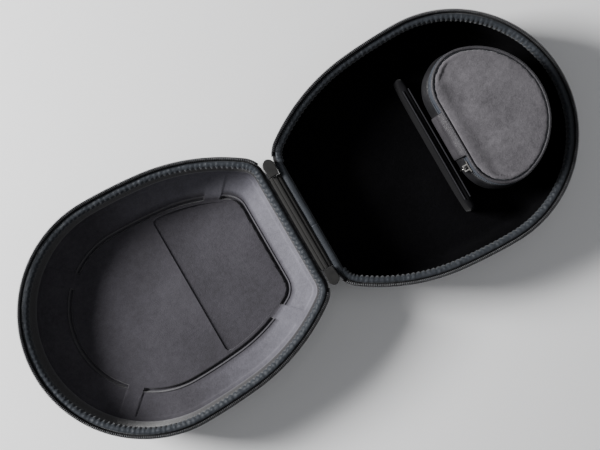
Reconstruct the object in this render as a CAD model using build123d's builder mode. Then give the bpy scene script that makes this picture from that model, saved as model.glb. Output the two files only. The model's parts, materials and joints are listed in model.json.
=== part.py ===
"""Hard-shell carrying case for large headphones, lying open and flat, with its accessory pouch.

Two moulded cups, base (+X) and lid (-X), meet at a cloth hinge on the Y axis and close on a curved zip.
Units are millimetres, +Z is up, and the origin is on the table midway between the two cups.
Everything on the lid side is drawn on the base side first and mirrored across the hinge.
"""

import os
from math import asin, atan2, cos, degrees, radians, sin, sqrt

from build123d import *

# --- case: driving dimensions -------------------------------------------------------------------
AXIS_Z = 57.0  # hinge axis and closing plane
HINGE_X = 4.5  # hinge-side edge of a cup's outline
FAR_X, FAR_R = 143.6, 101.0  # round far end: centre and radius
SHOULDER_R = 463.0  # long flat arc beside the far end
SIDE_R = 170.0  # side arc that narrows towards the hinge
JOIN_X = 96.0  # where the shoulder arc meets the side arc
CORNER_R = 22.0  # outline corner beside the hinge

TAPE_T = 0.9  # zip tape outside the shell
SHELL_INSET, SHELL_WALL, SHELL_FLOOR = 1.0, 4.0, 4.0
TRAY_WALL = 2.0
BEND_Z = 38.0  # walls are upright above this and drafted below
DRAFT = 6.0
SHELL_TOP = 52.0
TRAY_TOP = 46.0
FOOT_R = 13.0  # rounding between wall and flat foot
LINER_FOOT_R = 9.0

BAND_OUT, BAND_IN = 3.0, 9.0  # gathered rim band, insets of its edges
BAND_TOP = 54.5
BAND_ROUND = 1.9
EDGE_STRIP_X, EDGE_STRIP_SHORT = 0.4, 2.0  # the band's foot on the hinge side, and how far short it stops

TAPE_Z = (40.0, 54.0)
CHAIN_DEPTH = 2.8  # thickness of the zip coil
CHAIN_Z = (54.0, 56.7)
CHAIN_START_Y = 60.0  # the coil leaves the slider's mouth here
TAPE_START_Y = 57.8  # the tape shows from the slider's nose on
GAP_DEPTH = 12.0  # reach of the gap in tape and coil beside the hinge

# --- lid relief ---------------------------------------------------------------------------------
RING_TOP, RING_LOW = 18.0, 11.0  # sloping ring, at the wall and at the floor panel
PANEL_Z = 10.0
PANEL_INSET, PANEL_CORNER, PANEL_SHIFT = 30.5, 17.0, -3.5
PAD_SINK = 1.0  # how far the four ring pads lie below the bars
GROOVE_W, GROOVE_SINK = 2.6, 2.2
BAR_W, BAR_L = 12.5, 60.0
BARS = ((47.0, 59.7, -45.0), (196.8, 61.5, 42.5))  # centre x, centre y, angle
SCOOP_EDGE_X, SCOOP_INSET, SCOOP_ROUND = 105.5, 5.0, 4.0
SCOOP_DEPTH, SCOOP_MID_DEPTH, SCOOP_RISE = 0.6, 3.7, 0.2  # past the straight edge, halfway, before the hinge side

# --- base relief --------------------------------------------------------------------------------
WELL_Z = 8.0
PLINTH_Z = 24.0  # the pouch stands on this
PLINTH_INSET, PLINTH_ROUND = 6.0, 3.0
DIVIDER_X, DIVIDER_T, DIVIDER_HALF, DIVIDER_TOP = 129.0, 7.0, 64.0, 42.0
DIVIDER_CORNER, DIVIDER_ROUND = 14.0, 2.8

# --- hinge and zip ends -------------------------------------------------------------------------
STRIP_HALF = 42.2  # half length of the hinge strip
STRIP_T = 0.8
STRIP_X, STRIP_DROP, STRIP_CROWN = 4.3, 4.2, 0.2  # half width, edges below the axis, crown above it
FLAP_Z = (40.0, 51.8)
FLAP_GAP, FLAP_CORNER = 0.05, 4.0
STUB_START, STUB_LENGTH, STUB_HALF = 42.5, 8.0, 2.6
STUB_PLAY, STUB_ROUND = 0.2, 0.7  # play above and below a zip end in the slider
SLIDER_START, SLIDER_LENGTH, SLIDER_W = 42.6, 14.6, 9.6
FLANK_SHARE, NOSE_SHARE, NOSE_BACK = 0.55, 0.62, 1.3  # where the flank ends, and a point on the nose
PLATE_T = 1.2
PLATE_ROUND, TAIL_INSET = 0.5, 0.8  # softened top edge, and how much narrower the tail is
POST_R, POST_FROM_NOSE = 1.1, 3.4
FLANGE_T, FLANGE_L, FLANGE_H, FLANGE_INSET = 0.8, 6.0, 0.7, 1.0
LUG_L, LUG_H, LUG_T, LUG_HOLE = 7.4, 3.2, 1.8, (5.2, 2.1)
CHANNEL = (AXIS_Z - 2.0, AXIS_Z + 1.0)  # room for the coil between the slider's plates
PIVOT_Y, PIVOT_Z = 49.2, AXIS_Z - 4.2  # pull tab's axis
TAB_W, TAB_L, TAB_T = 6.0, 26.0, 1.8
TAB_ROUND, TAB_HEAD, TAB_HOLE = 2.4, 0.8, (3.4, 4.0)
TAB_CUT, AXLE_R = 2.2, 0.75  # the tab's head is cut back round its axle
CHEEK_X, CHEEK_DROP, CHEEK_SIZE = 2.35, 1.0, (1.3, 1.3, 2.2)

# --- pouch --------------------------------------------------------------------------------------
POUCH_BACK_X, POUCH_BACK_R = 160.0, 61.5
POUCH_CORNER_R, POUCH_CORNER_Y = 32.0, 28.5
POUCH_SHIFT = 1.5  # the zip line and the top lean back by this much
POUCH_FOOT_Z, POUCH_BELLY_Z, POUCH_SIDE_Z, POUCH_TOP_Z = 24.3, 44.0, 57.0, 76.0
POUCH_FOOT_INSET, POUCH_BELLY_INSET, POUCH_SIDE_INSET = 4.0, 0.0, 1.6
POUCH_ZIP_Z, POUCH_ZIP_GAP = 62.0, 1.0
POUCH_ZIP_INSET = 2.0
POUCH_WALL = 1.6
POUCH_TAPE_T = 1.0
POUCH_CAP_Z = 70.0
POUCH_CAP_INSET = 5.6
CROWN_Z, CROWN_INSET, CROWN_TOP_INSET, CROWN_WALL = 72.6, 6.2, 14.6, 2.0
POUCH_COIL_H, POUCH_COIL_D, POUCH_COIL_PROUD = 1.6, 1.4, 0.2
POUCH_SPINE_HALF, SPINE_PLAY = 19.5, 0.3
SPINE_BULGE = 2.6
PIPING_R, PIPING_GAP = 1.3, 0.1
POUCH_SLIDER_L, POUCH_SLIDER_H = 9.0, 5.2
POUCH_PLATE_T, PLATE_GAP = 1.0, 0.8
BRIDGE_REACH, BRIDGE_BAR, BRIDGE_W, BRIDGE_T = 3.6, 1.0, 5.4, 1.6
SEAT = 0.1  # how far joined pieces of the slider run into each other
POST_H = 0.6
RING_WIRE_R, RING_R, RING_LENGTH = 0.6, 1.9, 6.5  # wire, and centre line of the loop pull

os.makedirs("parts", exist_ok=True)


def save(part, name):
    """Labels a finished piece and writes it."""
    part.label = name
    export_step(part, f"parts/{name}.step")


# --- case outline -------------------------------------------------------------------------------
TURN = degrees(asin((FAR_X - JOIN_X) / SHOULDER_R))  # how far the shoulder arc has turned at the join
SHOULDER_C = Vector(FAR_X, FAR_R - SHOULDER_R)
SIDE_C = SHOULDER_C + Vector(-sin(radians(TURN)), cos(radians(TURN))) * (SHOULDER_R - SIDE_R)


def corner_centre(inset, corner):
    """Centre of the corner arc that touches the hinge side and the side arc."""
    x = HINGE_X + inset + corner
    reach = SIDE_R - inset - corner
    return Vector(x, SIDE_C.Y + sqrt(reach**2 - (x - SIDE_C.X) ** 2))


def case_outline(inset, corner=None, shift=0.0):
    """Sketch of a cup's outline, moved inwards by inset."""
    corner = CORNER_R - inset if corner is None else corner
    centre = corner_centre(inset, corner)
    away = centre - SIDE_C
    meet = degrees(atan2(away.Y, away.X))
    move = Vector(shift, 0)
    with BuildSketch() as outline:
        with BuildLine():
            CenterArc(Vector(FAR_X, 0) + move, FAR_R - inset, 0, 90)
            CenterArc(SHOULDER_C + move, SHOULDER_R - inset, 90, TURN)
            CenterArc(SIDE_C + move, SIDE_R - inset, 90 + TURN, meet - 90 - TURN)
            CenterArc(centre + move, corner, meet, 180 - meet)
            Line((HINGE_X + inset + shift, centre.Y), (HINGE_X + inset + shift, 0))
            mirror(about=Plane.XZ)
        make_face()
    return outline.sketch


def cup_block(inset, floor_z, top_z, foot_r=0.0):
    """Solid cup shape: upright above BEND_Z, drafted below it, with a rounded foot."""
    with BuildPart() as block:
        with BuildSketch(Plane.XY.offset(BEND_Z)) as profile:
            add(case_outline(inset))
        extrude(profile.sketch, amount=top_z - BEND_Z)
        extrude(profile.sketch, amount=BEND_Z - floor_z, dir=(0, 0, -1), taper=DRAFT)
        if foot_r:
            fillet(block.faces().sort_by(Axis.Z)[0].edges(), foot_r)
    return block.part


def rim_ring(inset_out, inset_in, low, high):
    """Upright ring that follows the rim between two insets."""
    with BuildPart() as ring:
        with BuildSketch(Plane.XY.offset(low)):
            add(case_outline(inset_out))
            add(case_outline(inset_in), mode=Mode.SUBTRACT)
        extrude(amount=high - low)
    return ring.part


def mirrored(part):
    """The same piece on the lid side of the hinge."""
    return mirror(part, about=Plane.YZ)


shell_outside = cup_block(SHELL_INSET, 0.0, SHELL_TOP, FOOT_R)
shell_inside = cup_block(SHELL_INSET + SHELL_WALL, SHELL_FLOOR, SHELL_TOP, LINER_FOOT_R)
liner_block = cup_block(SHELL_INSET + SHELL_WALL, SHELL_FLOOR, TRAY_TOP, LINER_FOOT_R)
liner_inset = SHELL_INSET + SHELL_WALL + TRAY_WALL

# --- shells: moulded foam cups faced with cloth ---------------------------------------------------
with BuildPart() as base_shell:
    add(shell_outside)
    add(shell_inside, mode=Mode.SUBTRACT)
save(base_shell.part, "base_shell")
save(mirrored(base_shell.part), "lid_shell")

# --- lid tray: sloping ring with four sunk pads between bars, floor panel and scoop ---------------
wall_space = cup_block(liner_inset, RING_TOP, TRAY_TOP)
draft_inset = liner_inset + (BEND_Z - RING_TOP) * sin(radians(DRAFT)) / cos(radians(DRAFT))


def ring_space(sink):
    """The space above the sloping ring, sunk by a little below the bars."""
    with BuildPart() as space:
        with BuildSketch(Plane.XY.offset(RING_TOP)):
            add(case_outline(draft_inset))
        with BuildSketch(Plane.XY.offset(RING_LOW - sink)):
            add(case_outline(PANEL_INSET, PANEL_CORNER, PANEL_SHIFT))
        loft(ruled=True)
    return space.part


def panel_slab(inset, corner, low, high):
    """Upright slab inside the floor panel's outline."""
    with BuildPart() as slab:
        with BuildSketch(Plane.XY.offset(low)):
            add(case_outline(PANEL_INSET + inset, corner, PANEL_SHIFT))
        extrude(amount=high - low)
    return slab.part


with BuildPart() as bars:
    for x, y, angle in BARS:
        with Locations(Location((x, y, PANEL_Z), (0, 0, angle)), Location((x, -y, PANEL_Z), (0, 0, -angle))):
            Box(BAR_L, BAR_W, 4 * PANEL_Z)

pad_space = ring_space(PAD_SINK) - bars.part
groove = panel_slab(0, PANEL_CORNER, PANEL_Z - GROOVE_SINK, RING_TOP)
groove -= panel_slab(GROOVE_W, PANEL_CORNER - GROOVE_W, PANEL_Z - GROOVE_SINK, RING_TOP)
groove -= bars.part

scoop_front = HINGE_X + PANEL_INSET + SCOOP_INSET + PANEL_SHIFT
with BuildPart() as scoop:
    with BuildSketch(Plane.XZ):
        with BuildLine():
            dip = ThreePointArc(
                (scoop_front - SCOOP_INSET, PANEL_Z + SCOOP_RISE),
                ((scoop_front + SCOOP_EDGE_X) / 2, PANEL_Z - SCOOP_MID_DEPTH),
                (SCOOP_EDGE_X + SCOOP_INSET, PANEL_Z - SCOOP_DEPTH),
            )
            Polyline(
                dip @ 1,
                (SCOOP_EDGE_X + SCOOP_INSET, RING_TOP),
                (scoop_front - SCOOP_INSET, RING_TOP),
                dip @ 0,
            )
        make_face()
    extrude(amount=FAR_R, both=True)
    with BuildSketch(Plane.XY) as lid_of_scoop:
        add(case_outline(PANEL_INSET + SCOOP_INSET, PANEL_CORNER - SCOOP_INSET, PANEL_SHIFT))
        with Locations((SCOOP_EDGE_X, 0)):
            Rectangle(2 * FAR_R, 4 * FAR_R, align=(Align.MIN, Align.CENTER), mode=Mode.SUBTRACT)
        fillet(lid_of_scoop.vertices().group_by(Axis.X)[-1], SCOOP_ROUND)
    extrude(amount=RING_TOP, mode=Mode.INTERSECT)

with BuildPart() as lid_tray:
    add(liner_block)
    add(wall_space, mode=Mode.SUBTRACT)
    add(ring_space(0.0), mode=Mode.SUBTRACT)
    add(pad_space, mode=Mode.SUBTRACT)
    add(panel_slab(0, PANEL_CORNER, PANEL_Z, RING_TOP), mode=Mode.SUBTRACT)
    add(groove, mode=Mode.SUBTRACT)
    add(scoop.part, mode=Mode.SUBTRACT)
save(mirrored(lid_tray.part), "lid_tray")


# --- pouch outline ------------------------------------------------------------------------------
def pouch_corner():
    """Centre of the pouch's front corner at the belly, on the +Y side."""
    reach = POUCH_BACK_R - POUCH_CORNER_R
    return Vector(POUCH_BACK_X + sqrt(reach**2 - POUCH_CORNER_Y**2), POUCH_CORNER_Y)


def pouch_outline(inset, shift=0.0):
    """D-shaped sketch: flat front towards the hinge, round back, moved inwards by inset."""
    corner = pouch_corner()
    back = Vector(POUCH_BACK_X, 0)
    away = corner - back
    meet = degrees(atan2(away.Y, away.X))
    front_x = corner.X - POUCH_CORNER_R + inset + shift
    move = Vector(shift, 0)
    with BuildSketch() as outline:
        with BuildLine():
            CenterArc(back + move, POUCH_BACK_R - inset, 0, meet)
            CenterArc(corner + move, POUCH_CORNER_R - inset, meet, 180 - meet)
            Line((front_x, POUCH_CORNER_Y), (front_x, 0))
            mirror(about=Plane.XZ)
        make_face()
    return outline.sketch


def pouch_slice(low, low_inset, high, high_inset, low_shift=POUCH_SHIFT, high_shift=POUCH_SHIFT):
    """Solid between two pouch outlines at two heights."""
    with BuildPart() as slab:
        with BuildSketch(Plane.XY.offset(low)):
            add(pouch_outline(low_inset, low_shift))
        with BuildSketch(Plane.XY.offset(high)):
            add(pouch_outline(high_inset, high_shift))
        loft(ruled=True)
    return slab.part


# --- base tray: deep well for the ear cups, and a plinth for the pouch ----------------------------
well_space = cup_block(liner_inset, WELL_Z, TRAY_TOP, LINER_FOOT_R - TRAY_WALL)
with BuildPart() as plinth:
    with BuildSketch(Plane.XY.offset(WELL_Z)):
        add(pouch_outline(PLINTH_INSET))
    extrude(amount=PLINTH_Z - WELL_Z)
    fillet(plinth.faces().sort_by(Axis.Z)[-1].edges(), PLINTH_ROUND)

with BuildPart() as base_tray:
    add(liner_block)
    add(well_space, mode=Mode.SUBTRACT)
    add(plinth.part)
save(base_tray.part, "base_tray")

# --- padded divider between the well and the pouch ------------------------------------------------
with BuildPart() as divider:
    with BuildSketch(Plane.YZ.offset(DIVIDER_X)) as divider_face:
        with Locations((0, WELL_Z)):
            Rectangle(2 * DIVIDER_HALF, DIVIDER_TOP - WELL_Z, align=(Align.CENTER, Align.MIN))
        fillet(divider_face.vertices().group_by(Axis.Z)[-1], DIVIDER_CORNER)
    extrude(amount=DIVIDER_T / 2, both=True)
    upper_edges = divider.edges().filter_by(lambda edge: edge.center().Z > WELL_Z + 1.0)
    fillet(upper_edges.filter_by(lambda edge: abs(edge.tangent_at(0.5).X) < 0.5), DIVIDER_ROUND)
save(divider.part, "divider_pad")

# --- gathered bands that trim both mouths ---------------------------------------------------------
band_lip = rim_ring(BAND_OUT, BAND_IN, SHELL_TOP, BAND_TOP)
band_skirt = rim_ring(SHELL_INSET + SHELL_WALL, BAND_IN, TRAY_TOP, SHELL_TOP)
hinge_edge_half = corner_centre(0, CORNER_R).Y - EDGE_STRIP_SHORT
with BuildPart() as rim_band:
    add(band_lip)
    add(band_skirt)
    with Locations((HINGE_X + EDGE_STRIP_X, 0, SHELL_TOP)):
        Box(BAND_OUT, 2 * hinge_edge_half, BAND_TOP - SHELL_TOP, align=(Align.MIN, Align.CENTER, Align.MIN))
    inner_edges = rim_band.faces().sort_by(Axis.Z)[-1].inner_wires()[0].edges()
    fillet(inner_edges, BAND_ROUND)
save(rim_band.part, "base_rim_band")
save(mirrored(rim_band.part), "lid_rim_band")


# --- zip tape and coil on both mouths -------------------------------------------------------------
def open_ring(ring, half_gap, depth):
    """A rim ring with the stretch beside the hinge taken out."""
    with BuildPart() as opened:
        add(ring)
        with Locations((HINGE_X, 0, AXIS_Z / 2)):
            Box(2 * depth, 2 * half_gap, 2 * AXIS_Z, mode=Mode.SUBTRACT)
    return opened.part


zip_tape = open_ring(rim_ring(0.0, TAPE_T, *TAPE_Z), TAPE_START_Y, GAP_DEPTH)
save(zip_tape, "base_zip_tape")
save(mirrored(zip_tape), "lid_zip_tape")

zip_coil = open_ring(rim_ring(0.0, CHAIN_DEPTH, *CHAIN_Z), CHAIN_START_Y, GAP_DEPTH)
save(zip_coil, "base_zip_coil")
save(mirrored(zip_coil), "lid_zip_coil")

# --- hinge: a cloth strip over the gap, and a sewn flap on each back wall -------------------------
with BuildPart() as hinge_strip:
    with BuildSketch(Plane.XZ) as arch:
        with BuildLine():
            crown = ThreePointArc(
                (-STRIP_X, AXIS_Z - STRIP_DROP),
                (0, AXIS_Z + STRIP_CROWN),
                (STRIP_X, AXIS_Z - STRIP_DROP),
            )
            soffit = ThreePointArc(
                (STRIP_X - STRIP_T, AXIS_Z - STRIP_DROP),
                (0, AXIS_Z + STRIP_CROWN - STRIP_T),
                (STRIP_T - STRIP_X, AXIS_Z - STRIP_DROP),
            )
            Line(crown @ 1, soffit @ 0)
            Line(soffit @ 1, crown @ 0)
        make_face()
    extrude(amount=STRIP_HALF, both=True)
save(hinge_strip.part, "hinge_strip")

with BuildPart() as hinge_flap:
    with BuildSketch(Plane.YZ.offset(HINGE_X + FLAP_GAP)) as flap_face:
        with Locations((0, FLAP_Z[0])):
            Rectangle(2 * STRIP_HALF, FLAP_Z[1] - FLAP_Z[0], align=(Align.CENTER, Align.MIN))
        fillet(flap_face.vertices().group_by(Axis.Z)[0], FLAP_CORNER)
    extrude(amount=TAPE_T)
save(hinge_flap.part, "base_hinge_flap")
save(mirrored(hinge_flap.part), "lid_hinge_flap")


# --- zip ends, sliders and pull tabs, drawn on the +Y side ----------------------------------------
def other_side(part):
    """The same piece at the -Y end of the hinge."""
    return mirror(part, about=Plane.XZ)


with BuildPart() as zip_stub:
    with Locations((0, STUB_START, CHANNEL[0] + STUB_PLAY)):
        stub_height = CHANNEL[1] - CHANNEL[0] - 2 * STUB_PLAY
        Box(2 * STUB_HALF, STUB_LENGTH, stub_height, align=(Align.CENTER, Align.MIN, Align.MIN))
    fillet(zip_stub.edges().filter_by(Axis.Y), STUB_ROUND)
save(zip_stub.part, "zip_end_left")
save(other_side(zip_stub.part), "zip_end_right")

NOSE_Y = SLIDER_START + SLIDER_LENGTH
with BuildPart() as slider:
    with BuildSketch(Plane.XY.offset(CHANNEL[1])) as plate:
        with BuildLine():
            tail = Line((0, SLIDER_START), (SLIDER_W / 2 - TAIL_INSET, SLIDER_START))
            flank = Line(tail @ 1, (SLIDER_W / 2, SLIDER_START + FLANK_SHARE * SLIDER_LENGTH))
            ThreePointArc(flank @ 1, (NOSE_SHARE * SLIDER_W / 2, NOSE_Y - NOSE_BACK), (0, NOSE_Y))
            mirror(about=Plane.YZ)
        make_face()
    extrude(amount=PLATE_T)
    with BuildSketch(Plane.XY.offset(CHANNEL[0] - PLATE_T)):
        add(plate.sketch.moved(Location((0, 0, -CHANNEL[1]))))
    extrude(amount=PLATE_T)
    fillet(slider.faces().sort_by(Axis.Z)[-1].edges(), PLATE_ROUND)
    with Locations((0, NOSE_Y - POST_FROM_NOSE, CHANNEL[0])):
        Cylinder(POST_R, CHANNEL[1] - CHANNEL[0], align=(Align.CENTER, Align.CENTER, Align.MIN))
    flange_x = SLIDER_W / 2 - FLANGE_INSET
    flange_y = SLIDER_START + 0.3 * SLIDER_LENGTH
    for height, side in ((CHANNEL[1], Align.MAX), (CHANNEL[0], Align.MIN)):
        with Locations((flange_x, flange_y, height), (-flange_x, flange_y, height)):
            Box(FLANGE_T, FLANGE_L, FLANGE_H, align=(Align.CENTER, Align.CENTER, side))
    with BuildSketch(Plane.YZ):
        with Locations((PIVOT_Y, CHANNEL[0] - PLATE_T)):
            Rectangle(LUG_L, LUG_H, align=(Align.CENTER, Align.MAX))
            Rectangle(*LUG_HOLE, align=(Align.CENTER, Align.MAX), mode=Mode.SUBTRACT)
    extrude(amount=LUG_T / 2, both=True)
save(slider.part, "zip_slider_left")
save(other_side(slider.part), "zip_slider_right")

with BuildPart() as pull_tab:
    with BuildSketch(Plane.XZ.offset(-PIVOT_Y)) as tab_face:
        with Locations((0, PIVOT_Z + TAB_HEAD)):
            Rectangle(TAB_W, TAB_L, align=(Align.CENTER, Align.MAX))
        fillet(tab_face.vertices().group_by(Axis.Y)[0], TAB_ROUND)
        with Locations((0, PIVOT_Z - TAB_HEAD)):
            Rectangle(*TAB_HOLE, align=(Align.CENTER, Align.MAX), mode=Mode.SUBTRACT)
    extrude(amount=TAB_T / 2, both=True)
    with BuildSketch(Plane.XZ.offset(-PIVOT_Y)):
        with Locations((0, PIVOT_Z + TAB_HEAD)):
            Rectangle(2 * TAB_W, TAB_CUT, align=(Align.CENTER, Align.MAX))
    extrude(amount=TAB_T, both=True, mode=Mode.SUBTRACT)
    with Locations(Location((0, PIVOT_Y, PIVOT_Z), (0, 90, 0))):
        Cylinder(AXLE_R, TAB_W)
    cheek_z = PIVOT_Z - CHEEK_DROP
    with Locations((CHEEK_X, PIVOT_Y, cheek_z), (-CHEEK_X, PIVOT_Y, cheek_z)):
        Box(*CHEEK_SIZE)
save(pull_tab.part, "pull_tab_left")
save(other_side(pull_tab.part), "pull_tab_right")

# --- pouch: soft cup below the zip ----------------------------------------------------------------
lower_side = (POUCH_FOOT_Z, POUCH_FOOT_INSET, POUCH_BELLY_Z, POUCH_BELLY_INSET, 0.0, 0.0)
upper_side = (POUCH_BELLY_Z, POUCH_BELLY_INSET, POUCH_SIDE_Z, POUCH_SIDE_INSET, 0.0, POUCH_SHIFT)


def thinner(slab, wall):
    """The same pouch slice with both outlines moved inwards by a wall."""
    low, low_inset, high, high_inset, *shifts = slab
    return (low, low_inset + wall, high, high_inset + wall, *shifts)


pouch_cup_block = pouch_slice(*lower_side) + pouch_slice(*upper_side)
pouch_cup_space = pouch_slice(*thinner(lower_side, POUCH_WALL))
pouch_cup_space += pouch_slice(*thinner(upper_side, POUCH_WALL))
with BuildPart() as pouch_cup:
    add(pouch_cup_block)
    add(pouch_cup_space, mode=Mode.SUBTRACT)
    with BuildSketch(Plane.XY.offset(POUCH_FOOT_Z)):
        add(pouch_outline(POUCH_FOOT_INSET + POUCH_WALL / 3))
    extrude(amount=POUCH_WALL)
save(pouch_cup.part, "pouch_cup")


def pouch_band(low, low_inset, high, high_inset, wall):
    """Thin wall that follows the pouch between two heights, open across the spine."""
    shifts = (POUCH_SHIFT, POUCH_SHIFT)
    band = (low, low_inset, high, high_inset, *shifts)
    with BuildPart() as wall_part:
        add(pouch_slice(*band))
        add(pouch_slice(*thinner(band, wall)), mode=Mode.SUBTRACT)
        with Locations((pouch_corner().X - POUCH_CORNER_R, 0, (low + high) / 2)):
            Box(POUCH_CORNER_R, 2 * (POUCH_SPINE_HALF + SPINE_PLAY), 2 * (high - low), mode=Mode.SUBTRACT)
    return wall_part.part


coil_low = POUCH_ZIP_Z - POUCH_ZIP_GAP / 2
coil_high = POUCH_ZIP_Z + POUCH_ZIP_GAP / 2
coil_inset = POUCH_ZIP_INSET - POUCH_COIL_PROUD
coil_foot, coil_head = coil_low - POUCH_COIL_H, coil_high + POUCH_COIL_H
bands = {
    "pouch_tape_lower": (POUCH_SIDE_Z, POUCH_ZIP_INSET, coil_foot, POUCH_ZIP_INSET, POUCH_TAPE_T),
    "pouch_tape_upper": (coil_head, POUCH_ZIP_INSET, POUCH_CAP_Z, POUCH_CAP_INSET, POUCH_TAPE_T),
    "pouch_coil_lower": (coil_foot, coil_inset, coil_low, coil_inset, POUCH_COIL_D),
    "pouch_coil_upper": (coil_high, coil_inset, coil_head, coil_inset, POUCH_COIL_D),
}
for name, sizes in bands.items():
    save(pouch_band(*sizes), name)

# --- pouch: crowned top panel and its piping ------------------------------------------------------
with BuildPart() as pouch_top:
    add(pouch_slice(POUCH_CAP_Z, POUCH_CAP_INSET, CROWN_Z, CROWN_INSET))
    add(pouch_slice(CROWN_Z, CROWN_INSET, POUCH_TOP_Z, CROWN_TOP_INSET))
    crown_wall = (POUCH_CAP_INSET + CROWN_WALL, POUCH_TOP_Z - CROWN_WALL, CROWN_TOP_INSET + CROWN_WALL)
    add(pouch_slice(POUCH_CAP_Z, *crown_wall), mode=Mode.SUBTRACT)
save(pouch_top.part, "pouch_top_panel")


def pouch_piping(height, inset, shift):
    """Round cord sewn into a pouch seam."""
    corner = pouch_corner()
    away = corner - Vector(POUCH_BACK_X, 0)
    meet = degrees(atan2(away.Y, away.X))
    with BuildPart() as cord:
        with BuildLine(Plane.XY.offset(height)) as path:
            CenterArc((POUCH_BACK_X + shift, 0), POUCH_BACK_R - inset, 0, meet)
            CenterArc((corner.X + shift, corner.Y), POUCH_CORNER_R - inset, meet, 180 - meet)
            front_x = corner.X - POUCH_CORNER_R + inset + shift
            Line((front_x, corner.Y), (front_x, 0))
        with BuildSketch(Plane(path.line @ 0, z_dir=path.line % 0)):
            Circle(PIPING_R)
        sweep(path=path.line)
        mirror(about=Plane.XZ)
    return cord.part


piping_inset = POUCH_CAP_INSET - PIPING_R - PIPING_GAP
save(pouch_piping(POUCH_CAP_Z + PIPING_R, piping_inset, POUCH_SHIFT), "pouch_piping")

# --- pouch: leather spine that the top folds on ---------------------------------------------------
spine_x = pouch_corner().X - POUCH_CORNER_R + POUCH_ZIP_INSET + POUCH_SHIFT
spine_top_x = spine_x + POUCH_CAP_INSET - POUCH_ZIP_INSET
spine_foot = Vector(spine_x - SPINE_PLAY, POUCH_SIDE_Z + SPINE_PLAY)
spine_belly = Vector(spine_x - SPINE_BULGE, (POUCH_SIDE_Z + POUCH_CAP_Z) / 2)
spine_head = Vector(spine_top_x - 2 * SPINE_PLAY, POUCH_CAP_Z - SPINE_PLAY)
spine_wall = Vector(POUCH_WALL, 0)
with BuildPart() as pouch_spine:
    with BuildSketch(Plane.XZ) as fold:
        with BuildLine():
            bulge = ThreePointArc(spine_foot, spine_belly, spine_head)
            hollow = ThreePointArc(spine_head + spine_wall, spine_belly + spine_wall, spine_foot + spine_wall)
            Line(bulge @ 1, hollow @ 0)
            Line(hollow @ 1, bulge @ 0)
        make_face()
    extrude(amount=POUCH_SPINE_HALF, both=True)
save(pouch_spine.part, "pouch_spine")

# --- pouch slider and loop pull, on the arc of the -Y front corner --------------------------------
arc_centre = Vector(pouch_corner().X + POUCH_SHIFT, -POUCH_CORNER_Y)
arc_r = POUCH_CORNER_R - POUCH_ZIP_INSET
arc_half = degrees(POUCH_SLIDER_L / 2 / arc_r)
bridge_x = arc_centre.X - arc_r - PLATE_GAP - POUCH_PLATE_T
loop_x = bridge_x - BRIDGE_REACH + BRIDGE_BAR / 2  # the loop pull's axis


def arc_plate(outer_r, wall, height, half_angle):
    """Curved plate that follows the corner's arc, centred on the slider."""
    with BuildPart() as plate:
        with BuildSketch(Plane.XY.offset(POUCH_ZIP_Z - height / 2)):
            with BuildLine():
                outer = CenterArc(arc_centre, outer_r, 180 - half_angle, 2 * half_angle)
                inner = CenterArc(arc_centre, outer_r - wall, 180 - half_angle, 2 * half_angle)
                Line(outer @ 0, inner @ 0)
                Line(outer @ 1, inner @ 1)
            make_face()
        extrude(amount=height)
    return plate.part


inner_r = arc_r + POUCH_COIL_PROUD - POUCH_COIL_D - PLATE_GAP
post_outer_r = arc_r + PLATE_GAP + SEAT
with BuildPart() as pouch_slider:
    add(arc_plate(arc_r + PLATE_GAP + POUCH_PLATE_T, POUCH_PLATE_T, POUCH_SLIDER_H, arc_half))
    add(arc_plate(inner_r, POUCH_PLATE_T, POUCH_SLIDER_H, arc_half))
    add(arc_plate(post_outer_r, post_outer_r - inner_r + SEAT, POST_H, arc_half / 4))
    with BuildSketch(Plane.XY.offset(POUCH_ZIP_Z)):
        with Locations((bridge_x + SEAT, arc_centre.Y)):
            Rectangle(BRIDGE_REACH + SEAT, BRIDGE_W, align=(Align.MAX, Align.CENTER))
        with Locations((bridge_x, arc_centre.Y)):
            hole = (BRIDGE_REACH - BRIDGE_BAR, BRIDGE_W - 2 * BRIDGE_BAR)
            Rectangle(*hole, align=(Align.MAX, Align.CENTER), mode=Mode.SUBTRACT)
    extrude(amount=BRIDGE_T / 2, both=True)
save(pouch_slider.part, "pouch_slider")

with BuildPart() as pouch_pull:
    with BuildLine(Plane.XZ.offset(-arc_centre.Y)) as wire:
        CenterArc((loop_x, POUCH_ZIP_Z), RING_R, 0, 180)
        Line((loop_x - RING_R, POUCH_ZIP_Z), (loop_x - RING_R, POUCH_ZIP_Z - RING_LENGTH))
        CenterArc((loop_x, POUCH_ZIP_Z - RING_LENGTH), RING_R, 180, 180)
        Line((loop_x + RING_R, POUCH_ZIP_Z - RING_LENGTH), (loop_x + RING_R, POUCH_ZIP_Z))
    with BuildSketch(Plane(wire.line @ 0, z_dir=wire.line % 0)):
        Circle(RING_WIRE_R)
    sweep(path=wire.line)
save(pouch_pull.part, "pouch_pull")

PIVOTS = {
    "lid_hinge": (0, 0, AXIS_Z),
    "pull_left": (0, PIVOT_Y, PIVOT_Z),
    "pouch_lid": (spine_belly.X, 0, spine_belly.Y),
    "pouch_slider_run": (arc_centre.X, arc_centre.Y, POUCH_ZIP_Z),
    "pouch_pull": (loop_x, arc_centre.Y, POUCH_ZIP_Z),
}
for joint, (x, y, z) in PIVOTS.items():
    print(f"{joint}: {x:.3f} {y:.3f} {z:.3f}")
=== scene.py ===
# %% [markdown]
# # A zipped carrying case for headphones
# The case lies open and flat: two moulded cups on a cloth hinge, with a small soft pouch in the base cup.
# The CAD model gives every piece its place and size. This lesson adds the cloth, suede, zips and leather.

# %% The frame
import json
import random
from math import asin, atan2, ceil, cos, hypot, pi, radians, sin, sqrt

import bmesh
import bpy
from mathutils import Matrix, Vector

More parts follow.
